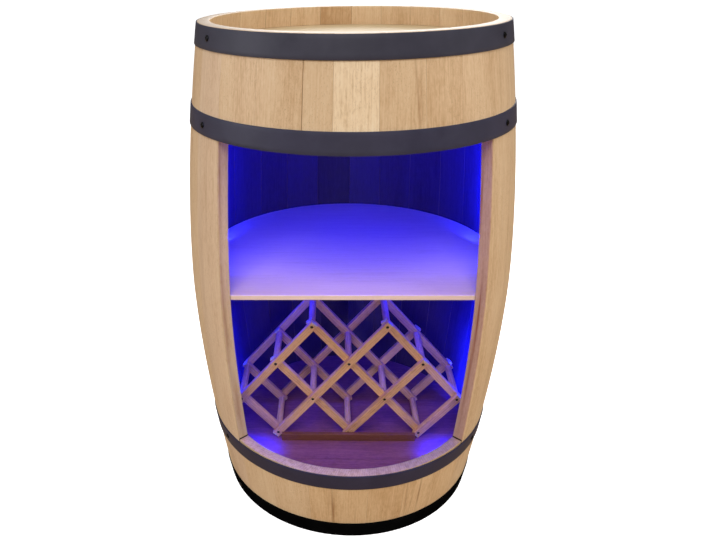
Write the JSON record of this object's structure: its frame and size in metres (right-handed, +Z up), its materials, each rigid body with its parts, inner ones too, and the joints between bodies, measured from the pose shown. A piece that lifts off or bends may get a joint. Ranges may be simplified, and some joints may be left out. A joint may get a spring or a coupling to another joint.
{
  "type": "barrel bar cabinet",
  "caption": "Free-standing wooden barrel cabinet with steel hoops, a tall front opening, an inner shelf, inner light strips and a folding lattice bottle rack.",
  "frame": {"origin": "on the floor, under the middle of the cabinet's footprint", "axes": "+Z up along the barrel, the opening faces -Y, +X to the viewer's right when facing the opening"},
  "size_m": [0.5319, 0.5167, 0.8],
  "materials": {
    "stave_beech": "satin",
    "head_beech": "satin",
    "floor_beech": "satin",
    "shelf_beech": "satin",
    "rack_beech": "satin",
    "hoop_steel": "satin",
    "screw_black": "satin",
    "led_diffuser": "matte",
    "controller_plastic": "matte",
    "grommet_rubber": "matte"
  },
  "bodies": {
    "cabinet": {"stave_right_jamb": "stave_beech", "stave_02": "stave_beech", "stave_03": "stave_beech", "stave_04": "stave_beech", "stave_05": "stave_beech", "stave_06": "stave_beech", "stave_07": "stave_beech", "stave_08": "stave_beech", "stave_09": "stave_beech", "stave_10": "stave_beech", "stave_11": "stave_beech", "stave_12": "stave_beech", "stave_13": "stave_beech", "stave_14": "stave_beech", "stave_15": "stave_beech", "stave_16": "stave_beech", "stave_17": "stave_beech", "stave_left_jamb": "stave_beech", "upper_stave_1": "stave_beech", "upper_stave_2": "stave_beech", "upper_stave_3": "stave_beech", "upper_stave_4": "stave_beech", "upper_stave_5": "stave_beech", "upper_stave_6": "stave_beech", "upper_stave_7": "stave_beech", "lower_stave_1": "stave_beech", "lower_stave_2": "stave_beech", "lower_stave_3": "stave_beech", "lower_stave_4": "stave_beech", "lower_stave_5": "stave_beech", "lower_stave_6": "stave_beech", "lower_stave_7": "stave_beech", "hoop_top": "hoop_steel", "hoop_upper": "hoop_steel", "hoop_lower": "hoop_steel", "hoop_bottom": "hoop_steel", "hoop_screw_top_left": "screw_black", "hoop_screw_top_right": "screw_black", "hoop_screw_upper_left": "screw_black", "hoop_screw_upper_right": "screw_black", "hoop_screw_lower_left": "screw_black", "hoop_screw_lower_right": "screw_black", "top_head": "head_beech", "bottom_head": "floor_beech", "shelf": "shelf_beech", "shelf_cleat_right": "floor_beech", "shelf_cleat_left": "floor_beech", "led_strip_right": "led_diffuser", "led_strip_left": "led_diffuser", "led_controller": "controller_plastic", "cable_grommet": "grommet_rubber", "rack_stop_strip": "rack_beech"},
    "rack_rise_1": {"rack_rise_1": "rack_beech"},
    "rack_rise_2": {"rack_rise_2": "rack_beech"},
    "rack_rise_3": {"rack_rise_3": "rack_beech"},
    "rack_rise_4": {"rack_rise_4": "rack_beech"},
    "rack_fall_1": {"rack_fall_1": "rack_beech"},
    "rack_fall_2": {"rack_fall_2": "rack_beech"},
    "rack_fall_3": {"rack_fall_3": "rack_beech"},
    "rack_fall_4": {"rack_fall_4": "rack_beech"}
  },
  "joints": [
    {"name": "rack_fold", "type": "hinge", "parent": "cabinet", "child": "rack_rise_3", "pos_m": [0, -0.01065, 0.089], "axis": [0, -1, 0], "range_deg": [-4, 36]},
    {"name": "rack_fall_2_pivot", "type": "hinge", "parent": "cabinet", "child": "rack_fall_2", "pos_m": [0, -0.01065, 0.089], "axis": [0, -1, 0], "range_deg": [-36, 4]},
    {"name": "rack_rise_2_pivot", "type": "hinge", "parent": "rack_fall_2", "child": "rack_rise_2", "pos_m": [-0.0645, -0.01065, 0.1633], "axis": [0, -1, 0], "range_deg": [-8, 72]},
    {"name": "rack_fall_3_pivot", "type": "hinge", "parent": "rack_rise_3", "child": "rack_fall_3", "pos_m": [0.0645, -0.01065, 0.1633], "axis": [0, -1, 0], "range_deg": [-72, 8]},
    {"name": "rack_rise_1_pivot", "type": "hinge", "parent": "rack_fall_2", "child": "rack_rise_1", "pos_m": [-0.129, -0.01065, 0.2376], "axis": [0, -1, 0], "range_deg": [-8, 72]},
    {"name": "rack_fall_4_pivot", "type": "hinge", "parent": "rack_rise_3", "child": "rack_fall_4", "pos_m": [0.129, -0.01065, 0.2376], "axis": [0, -1, 0], "range_deg": [-72, 8]},
    {"name": "rack_fall_1_pivot", "type": "hinge", "parent": "rack_rise_2", "child": "rack_fall_1", "pos_m": [-0.129, -0.01065, 0.089], "axis": [0, -1, 0], "range_deg": [-72, 8]},
    {"name": "rack_rise_4_pivot", "type": "hinge", "parent": "rack_fall_3", "child": "rack_rise_4", "pos_m": [0.129, -0.01065, 0.089], "axis": [0, -1, 0], "range_deg": [-8, 72]}
  ],
  "couplings": [
    {"joint": "rack_fall_2_pivot", "follows": "rack_fold", "ratio": -1},
    {"joint": "rack_rise_2_pivot", "follows": "rack_fold", "ratio": 2},
    {"joint": "rack_fall_3_pivot", "follows": "rack_fold", "ratio": -2},
    {"joint": "rack_rise_1_pivot", "follows": "rack_fold", "ratio": 2},
    {"joint": "rack_fall_4_pivot", "follows": "rack_fold", "ratio": -2},
    {"joint": "rack_fall_1_pivot", "follows": "rack_fold", "ratio": -2},
    {"joint": "rack_rise_4_pivot", "follows": "rack_fold", "ratio": 2}
  ]
}
